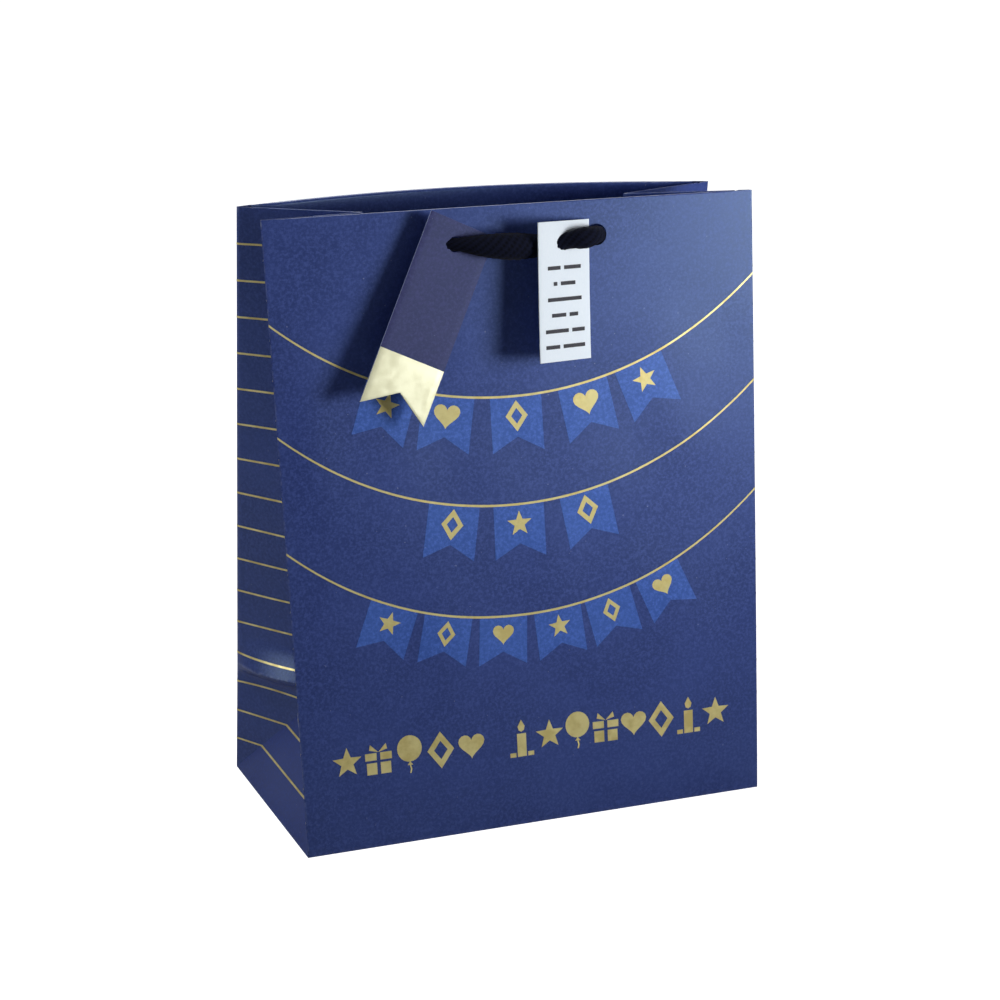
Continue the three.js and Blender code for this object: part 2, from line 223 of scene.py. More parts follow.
def put(piece, body, slot, *nodes):
    """A rigid piece: the body it moves with and the CAD nodes it stands for; its material slot is not
    used.
    """
    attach(piece, body)
    if nodes:
        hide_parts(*nodes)


# ---- Materials ----
class Look:
    """A material with short names for the nodes it is made of."""

    def __init__(self, name, roughness=0.6, metallic=0.0, specular=0.5):
        self.material = bpy.data.materials.new(name)
        self.material.use_nodes = True
        self.tree = self.material.node_tree
        self.shader = self.tree.nodes["Principled BSDF"]
        looks = {"Roughness": roughness, "Metallic": metallic, "Specular IOR Level": specular}
        for key, value in looks.items():
            self.shader.inputs[key].default_value = value
        self.place = self.node("ShaderNodeTexCoord").outputs["Object"]

    def node(self, kind, inputs=None, **settings):
        node = self.tree.nodes.new(kind)
        for key, value in settings.items():
            setattr(node, key, value)
        for key, value in (inputs or {}).items():
            node.inputs[key].default_value = value
        return node

    def link(self, source, target):
        self.tree.links.new(source, target)

    def noise(self, size, detail=3.0, stretch=(1, 1, 1), roughness=0.55):
        """Noise whose features are about size millimetres across."""
        place = self.node("ShaderNodeMapping", {"Scale": [1 / (size * MM * s) for s in stretch]})
        self.link(self.place, place.inputs["Vector"])
        node = self.node("ShaderNodeTexNoise", {"Scale": 1.0, "Detail": detail, "Roughness": roughness})
        self.link(place.outputs["Vector"], node.inputs["Vector"])
        return node.outputs["Fac"]

    def range(self, source, low, high, to_low=0.0, to_high=1.0):
        limits = {"From Min": low, "From Max": high, "To Min": to_low, "To Max": to_high}
        node = self.node("ShaderNodeMapRange", limits, interpolation_type="SMOOTHSTEP")
        self.link(source, node.inputs["Value"])
        return node.outputs["Result"]

    def attribute(self, name):
        return self.node("ShaderNodeAttribute", attribute_name=name).outputs["Fac"]

    def math(self, operation, a, b):
        node = self.node("ShaderNodeMath", operation=operation)
        for socket, value in zip(node.inputs, (a, b)):
            if isinstance(value, (int, float)):
                socket.default_value = value
            else:
                self.link(value, socket)
        return node.outputs["Value"]

    def blend(self, amount, first, second):
        """Mixes two colours, each a socket or an (r, g, b)."""
        node = self.node("ShaderNodeMix", data_type="RGBA")
        self.link(amount, node.inputs["Factor"])
        for socket, value in ((node.inputs[6], first), (node.inputs[7], second)):
            if isinstance(value, tuple):
                socket.default_value = (*value, 1)
            else:
                self.link(value, socket)
        return node.outputs[2]

    def bump(self, height, strength, distance):
        node = self.node("ShaderNodeBump", {"Strength": strength, "Distance": distance * MM})
        self.link(height, node.inputs["Height"])
        self.link(node.outputs["Normal"], self.shader.inputs["Normal"])

    def colour(self, source):
        self.link(source, self.shader.inputs["Base Color"])

    def roughness(self, source):
        self.link(source, self.shader.inputs["Roughness"])


# Pale ink for worn places and specks, also used as a painted highlight on the gusset ledges and the top
# edge.
WORN_AND_HIGHLIGHT_INK = (0.34, 0.39, 0.56)
INK_SHEEN = (0.60, 0.82, 1.0, 1)


def printed_paper(name, dark, light, roughness=(0.34, 0.45), specular=0.7):
    """Ink on smooth paper: a fine mottle, cloudy ink, a few pale specks and pale worn folds; the same
    pale ink paints a highlight along the gusset ledges and the top edge.
    """
    look = Look(name, specular=specular)
    look.shader.inputs["Specular Tint"].default_value = INK_SHEEN
    cloud = look.noise(38, detail=4)
    mottle = look.noise(1.2, detail=3, roughness=0.7)
    ink = look.blend(look.range(cloud, 0.3, 0.7), dark, light)
    faded = tuple(c * 1.45 + 0.01 for c in light)
    ink = look.blend(look.range(mottle, 0.38, 0.72, 0, 0.75), ink, faded)
    specks = look.range(look.noise(1.5, detail=1), 0.78, 0.81, 0, 0.3)
    ink = look.blend(specks, ink, WORN_AND_HIGHLIGHT_INK)
    fray = look.range(look.noise(2.2, detail=4), 0.35, 0.62)
    # Pale ink where the values say: worn folds, and a painted highlight along the gusset ledges and the
    # crisp top edge.
    look.colour(look.blend(look.math("MULTIPLY", look.attribute("wear"), fray), ink, WORN_AND_HIGHLIGHT_INK))
    look.roughness(look.range(mottle, 0.3, 0.7, *roughness))
    look.bump(look.noise(0.55, detail=3), 0.25, 0.05)
    return look.material


def gold_foil(name, light, dark, roughness=(0.30, 0.48)):
    """Hot-stamped foil: metallic, with the paper's grain showing through and thin patches."""
    look = Look(name, metallic=0.35, specular=0.5)
    patches = look.range(look.noise(9, detail=4), 0.35, 0.68)
    grain = look.noise(0.5, detail=3)
    gold = look.blend(patches, light, dark)
    look.colour(look.blend(look.range(grain, 0.55, 0.9, 0, 0.45), gold, dark))
    look.roughness(look.range(patches, 0, 1, *roughness))
    look.bump(grain, 0.35, 0.06)
    return look.material


def plain_paper(name, tone, shade, fibre=1.1):
    """Uncoated paper or board, with short fibres and a soft mottle."""
    look = Look(name, roughness=0.85)
    fibres = look.noise(fibre, detail=5, stretch=(1, 1, 2.6), roughness=0.7)
    clouds = look.noise(24, detail=3)
    fine, broad = look.range(fibres, 0.35, 0.75, 0, 0.7), look.range(clouds, 0.3, 0.7, 0, 0.3)
    look.colour(look.blend(look.math("ADD", fine, broad), tone, shade))
    look.bump(fibres, 0.3, 0.08)
    return look.material


def rope(name, strand, groove_shade):
    """Soft matt cord: painted shade darkens it between its strands, with fine fibres along them."""
    look = Look(name, roughness=0.85, specular=0.08)
    look.shader.inputs["Sheen Weight"].default_value = 0.03
    look.shader.inputs["Sheen Roughness"].default_value = 0.45
    fibres = look.noise(0.45, detail=4, roughness=0.75)
    lit = look.math("MULTIPLY", look.attribute("strand"), look.range(fibres, 0.25, 0.7, 0.45, 1.0))
    # Between the strands the colour goes to the second, darker one: painted shade in the grooves.
    look.colour(look.blend(lit, groove_shade, strand))
    look.bump(fibres, 0.7, 0.16)
    return look.material


navy_print = printed_paper("navy_print", (0.023, 0.041, 0.195), (0.031, 0.054, 0.240))
flag_print = printed_paper("flag_print", (0.037, 0.095, 0.41), (0.046, 0.115, 0.46))
tag_print = printed_paper("tag_print", (0.033, 0.034, 0.118), (0.043, 0.044, 0.142),
                          roughness=(0.5, 0.6), specular=0.25)
foil = gold_foil("gold_foil", (0.90, 0.80, 0.36), (0.66, 0.55, 0.20))
pale_foil = gold_foil("pale_gold_foil", (0.78, 0.78, 0.56), (0.70, 0.69, 0.47), roughness=(0.42, 0.54))
inner_paper = plain_paper("inner_paper", (0.80, 0.79, 0.76), (0.66, 0.65, 0.62))
tag_paper = plain_paper("tag_paper", (0.80, 0.87, 0.94), (0.75, 0.83, 0.91), fibre=0.6)
cut_edge = plain_paper("cut_edge", (0.24, 0.28, 0.45), (0.13, 0.16, 0.32), fibre=0.6)
greyboard = plain_paper("greyboard", (0.40, 0.38, 0.34), (0.27, 0.25, 0.22), fibre=1.6)
ink_marks = plain_paper("ink_marks", (0.035, 0.035, 0.045), (0.06, 0.06, 0.07), fibre=0.5)
# The second colour is the painted shade between the strands.
cord_look = rope("cord", (0.006, 0.008, 0.024), (0.0008, 0.0011, 0.0034))


# ---- The folded shape ----
def lean_and_rise(leans, x):
    """How far the top of a panel leans inward at x, and its height there."""
    lean = mix(*leans, (x + HALF_WIDTH) / BAG_WIDTH)
    return lean, math.sqrt(PAPER_HEIGHT ** 2 - lean ** 2)


def front_point(x, up):
    share = up / PAPER_HEIGHT
    lean, rise = lean_and_rise(FRONT_LEAN, x)
    y = -HALF_DEPTH + lean * max(share, 0.0) ** FRONT_CURVE
    return Vector((x + TOP_DRIFT * share, y, rise * share))


def back_point(x, up):
    share = up / PAPER_HEIGHT
    lean, rise = lean_and_rise(BACK_LEAN, x)
    if up < CREASE_HEIGHT:
        taken = BACK_CREASE_SHARE * up / CREASE_HEIGHT
    else:
        taken = mix(BACK_CREASE_SHARE, 1, (up - CREASE_HEIGHT) / (PAPER_HEIGHT - CREASE_HEIGHT))
    bow = BACK_BOW * (1 - (x / HALF_WIDTH) ** 2) * share ** 2
    return Vector((x + TOP_DRIFT * share, HALF_DEPTH - lean * taken + bow, rise * share))


def centre_fold(side, up):
    front = front_point(side * HALF_WIDTH, up)
    back = back_point(side * HALF_WIDTH, up)
    skew = FOLD_SKEW[side] * smooth_step(CREASE_HEIGHT, CREASE_HEIGHT + FOLD_SKEW_REACH, up)
    angle = math.asin((back.y - front.y) / BAG_DEPTH) + math.radians(skew)
    x = back.x - side * HALF_DEPTH * math.cos(angle)
    return Vector((x, back.y - HALF_DEPTH * math.sin(angle), (front.z + back.z) / 2))


def inner_fold(side, panel_point, up):
    """Where a gusset half ends: its centre fold, or lower down the diagonal of the base triangle."""
    if up >= CREASE_HEIGHT:
        return centre_fold(side, up)
    corner = panel_point(side * HALF_WIDTH, 0)
    return corner.lerp(centre_fold(side, CREASE_HEIGHT), up / CREASE_HEIGHT)


def gusset_half(side, panel_point, share, up):
    """Share 0 is the corner fold and 1 the inner fold. The half is turned in just behind its panel."""
    corner = panel_point(side * HALF_WIDTH, up)
    seat = FOLD_SEAT * smooth_step(0, 0.015, share) * (1 - share) * smooth_step(0, CREASE_HEIGHT, up)
    inward = 1 if panel_point is front_point else -1
    return corner.lerp(inner_fold(side, panel_point, up), share) + Vector((0, inward * seat, 0))


def base_triangle(side, share, up):
    """Share 0 is the diagonal at the front, 1 the one at the back; it closes at the apex."""
    front = inner_fold(side, front_point, min(up, CREASE_HEIGHT))
    back = inner_fold(side, back_point, min(up, CREASE_HEIGHT))
    if up < CREASE_HEIGHT:
        return front.lerp(back, share)
    return centre_fold(side, up)


PANELS = {"front": front_point, "back": back_point}


def panel_x(region, a):
    """The x of a share of a panel; the back one is walked from right to left."""
    return mix(-HALF_WIDTH, HALF_WIDTH, a) * (1 if region == "front" else -1)


# The bag is walked all the way round, so that on every face the outside is across x up.
REGIONS = {
    "front": lambda a, up: front_point(panel_x("front", a), up),
    "right_front": lambda a, up: gusset_half(1, front_point, a, up),
    "right_base": lambda a, up: base_triangle(1, a, up),
    "right_rear": lambda a, up: gusset_half(1, back_point, 1 - a, up),
    "back": lambda a, up: back_point(panel_x("back", a), up),
    "left_rear": lambda a, up: gusset_half(-1, back_point, a, up),
    "left_base": lambda a, up: base_triangle(-1, 1 - a, up),
    "left_front": lambda a, up: gusset_half(-1, front_point, 1 - a, up),
}


def region_normal(region, a, up):
    step = 0.004
    low, high = max(a - step, 0), min(a + step, 1)
    surface = REGIONS[region]
    across = surface(high, up) - surface(low, up)
    upward = surface(a, up + 0.5) - surface(a, up - 0.5)
    return across.cross(upward).normalized()


# ---- Relief: how handling has bent the paper ----
LEDGE_EDGE = CREASE_HEIGHT + 2
LEDGE_REACH_OUT = 5.5  # how far a gusset stands out at this edge
LEDGE_HEIGHT = 12.5  # over which it falls back again above the edge
LEDGE_CURVE = 1.15
RELIEF_SEEDS = {"front": 1.7, "back": 9.2}
PANEL_WAVES = {"front": 0.9, "back": 1.3}
GUSSET_WAVES = 0.7
GUSSET_WAVES_START = (66, 90)
GUSSET_WAVES_END = (206, 222)
CARD_STIFFENS = (190, 216)
FRONT_HALF_RELIEF = {"rounding": 1.3, "tuck": 0.0, "seed": 5.4}
REAR_HALF_RELIEF = {"rounding": 0.7, "tuck": 1.5, "seed": 3.1}


def soft_noise(x, y, seed):
    return noise.noise(Vector((x, y, seed)))


def panel_relief(x, up, seed, amount):
    """Slow waves, flat at the folds and where the card stiffens the top."""
    from_folds = smooth_step(0, 16, HALF_WIDTH - abs(x)) * smooth_step(0, 14, up)
    below_card = 1 - smooth_step(*CARD_STIFFENS, up)
    waves = soft_noise(x / 62, up / 84, seed) + 0.35 * soft_noise(x / 24, up / 30, seed + 7)
    return amount * from_folds * below_card * waves


def gusset_relief(share, up, rounding, tuck, seed):
    """A gusset flares to a sharp ledge at its cross crease, is tucked in under it and is wavy above."""
    across = max(math.sin(math.pi * min(max(share, 0), 1)), 0) ** rounding
    above = up - LEDGE_EDGE
    if above >= 0:
        ledge = LEDGE_REACH_OUT * max(1 - above / LEDGE_HEIGHT, 0) ** LEDGE_CURVE
    else:
        ledge = mix(LEDGE_REACH_OUT, -tuck, smooth_step(0, 6, -above)) * (1 - smooth_step(8, 26, -above))
    waves = GUSSET_WAVES * soft_noise(share * 1.3, up / 46, seed) * smooth_step(*GUSSET_WAVES_START, up)
    below_hem = 1 - smooth_step(*GUSSET_WAVES_END, up)
    return across * (ledge + waves * below_hem)


def relief(region, a, up):
    if region in PANELS:
        return panel_relief(panel_x(region, a), up, RELIEF_SEEDS[region], PANEL_WAVES[region])
    if region.endswith("base"):
        return 0.0
    shape = FRONT_HALF_RELIEF if region.endswith("front") else REAR_HALF_RELIEF
    return gusset_relief(share_from_corner(region, a), up, **shape)


def on_sheet(region, a, up, lift=0.0):
    """A point of the finished outer face, lifted off it by lift millimetres."""
    height = relief(region, a, up) + lift
    if height == 0:
        return REGIONS[region](a, up)
    return REGIONS[region](a, up) + region_normal(region, a, up) * height


# ---- Paper shell ----
# Where the shell's columns stand across a gusset half. All that lies on a gusset has its points on
# them too, so that it stays on the paper as the mouth opens.
GUSSET_SHARES = [0.0, 0.015, 0.05, *spread(0.1, 0.9, 26), 0.95, 0.985, 1.0]
SETTLE_FROM = 0.9 * PAPER_HEIGHT  # above it the rows close up, to end where the hem's edge starts


def hem_depth(region, a):
    """How thick the turned-in top is at this place."""
    if region not in PANELS:
        return GUSSET_HEM_DEPTH
    return mix(PANEL_HEM_DEPTH, GUSSET_HEM_DEPTH, smooth_step(*HEM_CARD_EDGE, abs(panel_x(region, a))))


def share_from_corner(region, a):
    """How far across a gusset half this is from its corner fold, as a share."""
    return a if region in ("right_front", "left_rear") else 1 - a


def is_hemmed(region, a):
    if region in PANELS:
        return abs(panel_x(region, a)) < HEM_REACH
    start = LEFT_FRONT_HEM_START if region == "left_front" else GUSSET_HEM_START
    return share_from_corner(region, a) > start


def shell_columns():
    """(region, share) all the way round; each fold belongs to the region that starts there."""
    panel = [0.0, 0.004, 0.012] + spread(0.03, 0.97, 38) + [0.988, 0.996]
    triangle = spread(0, 1, 10)[:-1]
    steps = {"front": panel, "back": panel, "right_base": triangle, "left_base": triangle}
    return [(region, a) for region in REGIONS for a in steps.get(region, GUSSET_SHARES[:-1])]


def shell_rows():
    """Heights along the paper, closer together at the base fold and the crease."""
    crease = CREASE_HEIGHT
    low = [0, 0.6, 1.6, 3.5] + spread(6, crease - 5, 10) + [crease - 2.5, crease - 1, crease, crease + 1]
    high = [LEDGE_EDGE, LEDGE_EDGE + 1] + spread(LEDGE_EDGE + 3, LEDGE_EDGE + 15, 6)
    high += spread(LEDGE_EDGE + 19, PAPER_HEIGHT - 4, 44)
    return low + high + [PAPER_HEIGHT - 2, PAPER_HEIGHT]


def make_sheet(name, vertices, faces, wear, smooth=True, fold_radius=0.0):
    """Paper that is navy outside and white inside, worn where its values say; the same values lay a pale
    painted highlight on the gusset ledges and the top edge.
    """
    sheet = new_object(name, vertices, faces, [navy_print, inner_paper, cut_edge], smooth)
    set_point_values(sheet, "wear", wear)
    if fold_radius:
        weld(sheet, 0.02)
        round_folds(sheet, fold_radius, angle=24)
    thicken(sheet, SHEET, inner_material=1, edge_material=2)
    return sheet


def drill_cord_holes(piece, panel_point, diameter, length):
    for side in (-1, 1):
        centre = panel_point(side * HOLE_SPACING / 2, PAPER_HEIGHT - HOLE_DROP)
        drill(piece, centre, HOLE_DIRECTION, diameter, length)


def make_shell():
    """The whole folded body as one sheet: two panels, two gussets and their base triangles."""
    columns = shell_columns()
    rows = shell_rows()
    vertices = []
    wear = []
    for height in rows:
        settled = max(height - SETTLE_FROM, 0) / (PAPER_HEIGHT - SETTLE_FROM)
        for region, a in columns:
            up = height - (HEM_EDGE * settled if is_hemmed(region, a) else 0)
            vertices.append(on_sheet(region, a, up))
            wear.append(fold_wear_and_highlight(region, a, up))
    faces = grid_faces(len(rows), len(columns), closed=True)
    shell = make_sheet("paper_shell", vertices, faces, wear, fold_radius=FOLD_RADIUS)
    print_and_shade_inside_edges(shell)
    for panel_point in PANELS.values():
        drill_cord_holes(shell, panel_point, CORD_HOLE, length=8)
    keep_rims_sharp(shell)
    return shell


def print_and_shade_inside_edges(shell):
    """The inside is printed behind the hems; along the corner folds, where the sheets touch, it is made
    navy too, as painted shade in each inside corner crease.
    """
    for polygon in shell.data.polygons:
        place = polygon.center / MM
        folds = [point(side * HALF_WIDTH, place.z) for point in PANELS.values() for side in (-1, 1)]
        from_fold = min(math.hypot(place.x - fold.x, place.y - fold.y) for fold in folds)
        # Near a corner fold the inside turns navy: painted shade in the crease.
        navy_inside = from_fold < INNER_FOLD_SHADE_WIDTH or place.z > PAPER_HEIGHT - HEM_HEIGHT + 2
        if polygon.material_index == 1 and navy_inside:
            polygon.material_index = 0


# How much ink has rubbed off in each place; at ledge and hem the pale ink is also a painted highlight.
# Near the ends of a fold, fold_end is added.
WEAR_AND_HIGHLIGHT = {"front_left": 0.20, "fold": 0.06, "fold_end": 0.6, "base": 0.16, "ledge": 0.32, "hem": 0.12}


def fold_wear_and_highlight(region, a, up):
    """Ink rubs off along the corner folds, most at the front left one, and at the base; along each
    ledge's edge the pale ink is wear and a painted highlight.
    """
    base = WEAR_AND_HIGHLIGHT["base"] * (1 - smooth_step(0, 1.0, up))
    if region.endswith("base"):
        return base
    if region in PANELS:
        from_fold = min(a, 1 - a) * BAG_WIDTH
        ledge = 0
    else:
        from_fold = share_from_corner(region, a) * HALF_DEPTH
        # The ledge's edge gets pale ink that is partly wear and partly a painted highlight.
        ledge = WEAR_AND_HIGHLIGHT["ledge"] * (1 - smooth_step(0.2, 1.0, abs(up - LEDGE_EDGE)))
    front_left = region == "left_front" or (region == "front" and a < 0.5)
    corner = 1 - smooth_step(0.1, 0.8, from_fold)
    ends = max(smooth_step(250, 254, up), 1 - smooth_step(0, 4, up))
    fold = WEAR_AND_HIGHLIGHT["front_left" if front_left else "fold"] + WEAR_AND_HIGHLIGHT["fold_end"] * ends
    return corner * fold + base + ledge


# ---- Turned-in top ----
def hem_profile(depth):
    """(up, depth) from the outside of the top edge, over it and down the inside."""
    shoulder = min(HEM_SHOULDER, 0.55 * depth)
    roll = []
    for angle in spread(0, math.pi / 2, 3):
        roll.append((PAPER_HEIGHT - HEM_EDGE * (1 - math.sin(angle)), HEM_EDGE * (1 - math.cos(angle))))
    for angle in spread(0, math.pi / 2, 4):
        rounding = shoulder * (1 - math.cos(angle))
        roll.append((PAPER_HEIGHT - rounding, depth - shoulder * (1 - math.sin(angle))))
    card_bottom = PAPER_HEIGHT - HEM_CARD_HEIGHT
    down = [(up, depth) for up in spread(PAPER_HEIGHT - 4, card_bottom + 2, 8)]
    plain = min(depth, HEM_PLAIN_DEPTH)
    end = [(card_bottom, mix(depth, plain, 0.4)), (card_bottom - 1.2, plain)]
    return roll + down + end + [(PAPER_HEIGHT - HEM_HEIGHT, plain)]


def inside_sheet(region, a, up, depth):
    """A point that far inside the sheet; round a centre fold it goes further, to clear both halves."""
    if region in PANELS or share_from_corner(region, a) < 1:
        return on_sheet(region, a, up, lift=-depth)
    side = -1 if region.startswith("left") else 1
    return centre_fold(side, up) - Vector((side * HEM_ROUND_FOLD * depth, 0, 0))


def make_hem(name, places):
    """A strip of the sheet turned over the top edge; places are (region, share) along it."""
    profiles = [hem_profile(hem_depth(region, a)) for region, a in places]
    vertices = []
    wear = []
    for row in range(len(profiles[0])):
        for (region, a), profile in zip(places, profiles):
            up, depth = profile[row]
            vertices.append(inside_sheet(region, a, up, depth))
            # Rows 1 to 3 run over the crisp outer top edge: pale ink there is wear and a painted
            # highlight.
            wear.append(WEAR_AND_HIGHLIGHT["hem"] if 0 < row < 4 else 0.0)
    return make_sheet(name, vertices, grid_faces(len(profiles[0]), len(places)), wear)


def make_hems():
    """Panel hems between the corners, and gusset hems over each centre fold."""
    panel_share = (1 - HEM_REACH / HALF_WIDTH) / 2
    along = spread(panel_share, 1 - panel_share, 60)
    hems = {}
    for region, panel_point in PANELS.items():
        hem = make_hem(f"{region}_hem_strip", [(region, a) for a in along])
        drill_cord_holes(hem, panel_point, HEM_HOLE, length=16)
        keep_rims_sharp(hem)
        hems[region] = hem
    for side, near, far in (("right", "right_front", "right_rear"), ("left", "left_rear", "left_front")):
        near_half = [(near, a) for a in GUSSET_SHARES if is_hemmed(near, a)]
        far_half = [(far, a) for a in GUSSET_SHARES[1:] if is_hemmed(far, a)]
        hems[side] = make_hem(f"{side}_gusset_hem_strip", near_half + far_half)
    return hems


SEAM_SPAN = (22.0, 9.0)  # from the corner fold
SEAM_HEIGHTS = (LEDGE_EDGE + LEDGE_HEIGHT + 2, 213.0)


def make_side_seam():
    """The glued flap inside the right rear gusset."""
    shares = spread(*(1 - place / HALF_DEPTH for place in SEAM_SPAN), 4)
    heights = spread(*SEAM_HEIGHTS, 24)
    vertices = [on_sheet("right_rear", a, up, lift=-SHEET - 0.1) for up in heights for a in shares]
    flap = new_object("side_seam", vertices, grid_faces(len(heights), len(shares)), [inner_paper])
    thicken(flap, SHEET)
    return flap


# ---- Base ----
FLAP_CLEARANCE = (0.5, 0.15)  # at its sides and at its base fold
FLAP_PAST_MIDDLE = 12.0
FLAP_CHAMFER = 20.0
FLAP_WEAR = [0.3, 0.2, 0.1, 0.1, 0.2, 0.3]


def make_base_flap(name, side, bottom):
    """A long base flap from one base fold to past the middle, with its free corners cut off."""
    half, edge = HALF_WIDTH - FLAP_CLEARANCE[0], HALF_DEPTH - FLAP_CLEARANCE[1]
    free, cut = -FLAP_PAST_MIDDLE, FLAP_CHAMFER
    outline = [(-half, edge), (-half, free + cut), (-half + cut, free),
               (half - cut, free), (half, free + cut), (half, edge)]
    vertices = [Vector((x, side * y, bottom)) for x, y in outline]
    order = list(range(6))[::side]
    return make_sheet(name, vertices, [order], FLAP_WEAR, smooth=False)


# ---- Printed and stamped artwork ----
# It is laid on the panels as very thin pieces, in paper coordinates: x across and up along the sheet.
PRINT_LIFT = 0.05
FOIL_LIFT = 0.11
STRING_WIDTH = 0.95
STRING_LOWEST = -3.8  # x of each hanging string's lowest point
STRING_LEVELS = (178.9, 135.0, 89.0)
STRING_CURVE = (0.0033, 6e-8)  # times the square and the fourth power of the distance from there
FLAG_SIZES = (  # width, height to the tips, depth of the notch
    (21.3, 22.6, 6.1),
    (21.3, 22.2, 6.0),
    (20.4, 20.2, 5.5),
)
FLAG_FLARE = 1.02  # how much wider a flag is at its foot
FLAG_PLACES = (
    (-52.7, -29.8, -2.3, 25.8, 49.6),
    (-30.1, -3.3, 24.6),
    (-57.4, -35.0, -11.8, 11.5, 33.3, 55.2),
)
FLAG_MOTIFS = (
    ("star", "heart", "diamond", "heart", "star"),
    ("diamond", "star", "diamond"),
    ("star", "diamond", "heart", "star", "diamond", "heart"),
)
BAND_BASELINE = 29.2
BAND_HEIGHT = 15.4
BAND_MOTIFS = (
    (-87.0, ("star", "present", "balloon", "diamond", "heart")),
    (-12.0, ("candle", "star", "balloon", "present", "heart", "diamond", "candle", "star")),
)
BAND_PITCH = (13.2, 12.4)
BAND_SIZES = {"star": 11.4, "heart": 12.6, "present": 12.8, "diamond": 15.0, "balloon": 15.4,
              "candle": 15.4}
FLAG_MOTIF_SIZES = ((9.6, 12.2), (9.6, 12.2), (8.8, 10.2))  # for each string: a star's, any other's
FLAG_MOTIF_DROPS = (8.0, 8.0, 7.4)


def string_height(string, x):
    offset = x - STRING_LOWEST
    return STRING_LEVELS[string] + STRING_CURVE[0] * offset ** 2 + STRING_CURVE[1] * offset ** 4


def ring_points(radii):
    """Points at even turns round the middle, from the top, each at its own radius."""
    turn = 2 * math.pi / len(radii)
    return [(math.sin(turn * i) * radius, math.cos(turn * i) * radius) for i, radius in enumerate(radii)]


def bar(x0, y0, x1, y1):
    return [(x0, y0), (x1, y0), (x1, y1), (x0, y1)]


def diamond_shape():
    outer = [(0, 0.52), (0.38, 0), (0, -0.52), (-0.38, 0)]
    inner = [(x * 0.5, y * 0.5) for x, y in outer]
    return [[outer[i], outer[(i + 1) % 4], inner[(i + 1) % 4], inner[i]] for i in range(4)]


def heart_shape():
    points = []
    for i in range(28):
        t = 2 * math.pi * i / 28
        x = 16 * math.sin(t) ** 3
        y = 13 * math.cos(t) - 5 * math.cos(2 * t) - 2 * math.cos(3 * t) - math.cos(4 * t)
        points.append((x * 0.028, y * 0.028 + 0.04))
    return [points]


def present_shape():
    """A box in four quarters, so that the ribbon is the gap between them, with a bow."""
    half = [bar(0.06, -0.50, 0.40, -0.12), bar(0.06, -0.04, 0.44, 0.20),
            [(0, 0.22), (0.26, 0.48), (0.30, 0.30)]]
    return half + [[(-x, y) for x, y in outline] for outline in half]


def balloon_shape():
    body = [(x * 0.34, y * 0.36 + 0.16) for x, y in ring_points([1.0] * 24)]
    knot = [(0, -0.19), (0.08, -0.29), (-0.08, -0.29)]
    tail = [(-0.02, -0.29), (0.02, -0.29), (0.05, -0.40), (0.02, -0.51), (-0.02, -0.51), (0.01, -0.40)]
    return [body, knot, tail]


def candle_shape():
    flame = [(0, 0.52), (0.10, 0.34), (0.075, 0.23), (0, 0.19), (-0.075, 0.23), (-0.10, 0.34)]
    dish = [bar(-0.34, -0.50, -0.17, -0.38), bar(0.17, -0.50, 0.34, -0.38)]
    return [bar(-0.13, -0.50, 0.13, 0.14), flame, *dish]


MOTIFS = {
    "star": [ring_points([0.56, 0.235] * 5)],
    "diamond": diamond_shape(),
    "heart": heart_shape(),
    "present": present_shape(),
    "balloon": balloon_shape(),
    "candle": candle_shape(),
}


class Artwork:
    """Flat shapes gathered into one thin piece that follows a panel."""

    def __init__(self, region, lift):
        self.region = region
        self.lift = lift
        self.vertices = []
        self.faces = []

    def point(self, x, up):
        a = (x + HALF_WIDTH) / BAG_WIDTH
        return on_sheet(self.region, min(max(a, 0.0), 1.0), up, self.lift)

    def add_grid(self, rows):
        """Rows of (x, up) points, each row as long as the others."""
        first = len(self.vertices)
        columns = len(rows[0])
        self.vertices += [self.point(x, up) for row in rows for x, up in row]
        self.faces += [tuple(first + i for i in face) for face in grid_faces(len(rows), columns)]

    def add_outline(self, outline):
        """A shape that can be seen whole from its middle, as a fan of triangles."""
        first = len(self.vertices)
        middle = [sum(p[k] for p in outline) / len(outline) for k in (0, 1)]
        self.vertices += [self.point(x, up) for x, up in [middle, *outline]]
        count = len(outline)
        for i in range(count):
            self.faces.append((first, first + 1 + i, first + 1 + (i + 1) % count))

    def add_motif(self, name, centre, size, turn=0.0):
        cos, sin = math.cos(turn), math.sin(turn)
        for outline in MOTIFS[name]:
            turned = [(x * cos - y * sin, x * sin + y * cos) for x, y in outline]
            self.add_outline([(centre[0] + size * x, centre[1] + size * y) for x, y in turned])

    def finish(self, name, material):
        """Makes the piece, with the faces turned over that look into the bag."""
        piece = new_object(name, self.vertices, self.faces, [material])
        outward = -1 if self.region == "front" else 1
        for polygon in piece.data.polygons:
            if polygon.normal.y * outward < 0:
                polygon.flip()
        piece.data.update()
        return piece


def hang(string, x):
    """A frame for something hanging from a string: where it hangs, along it and down from it."""
    slope = string_height(string, x + 0.5) - string_height(string, x - 0.5)
    along = Vector((1, slope)).normalized()
    return Vector((x, string_height(string, x))), along, Vector((along.y, -along.x))


def add_flag(art, string, x):
    """A swallowtail flag, a little wider at its foot, in two quads that meet at the notch."""
    width, height, notch = FLAG_SIZES[string]
    origin, along, down = hang(string, x)
    for side in (-1, 1):
        rows = []
        for t in spread(0, 1, 8):
            row = []
            for s in spread(0, 1, 5):
                across = side * s * width / 2
                level = origin + along * across
                drop = mix(level.y - string_height(string, level.x), height - notch * (1 - s), t)
                row.append(origin + along * across * mix(1, FLAG_FLARE, t) + down * drop)
            rows.append(row)
        art.add_grid(rows)


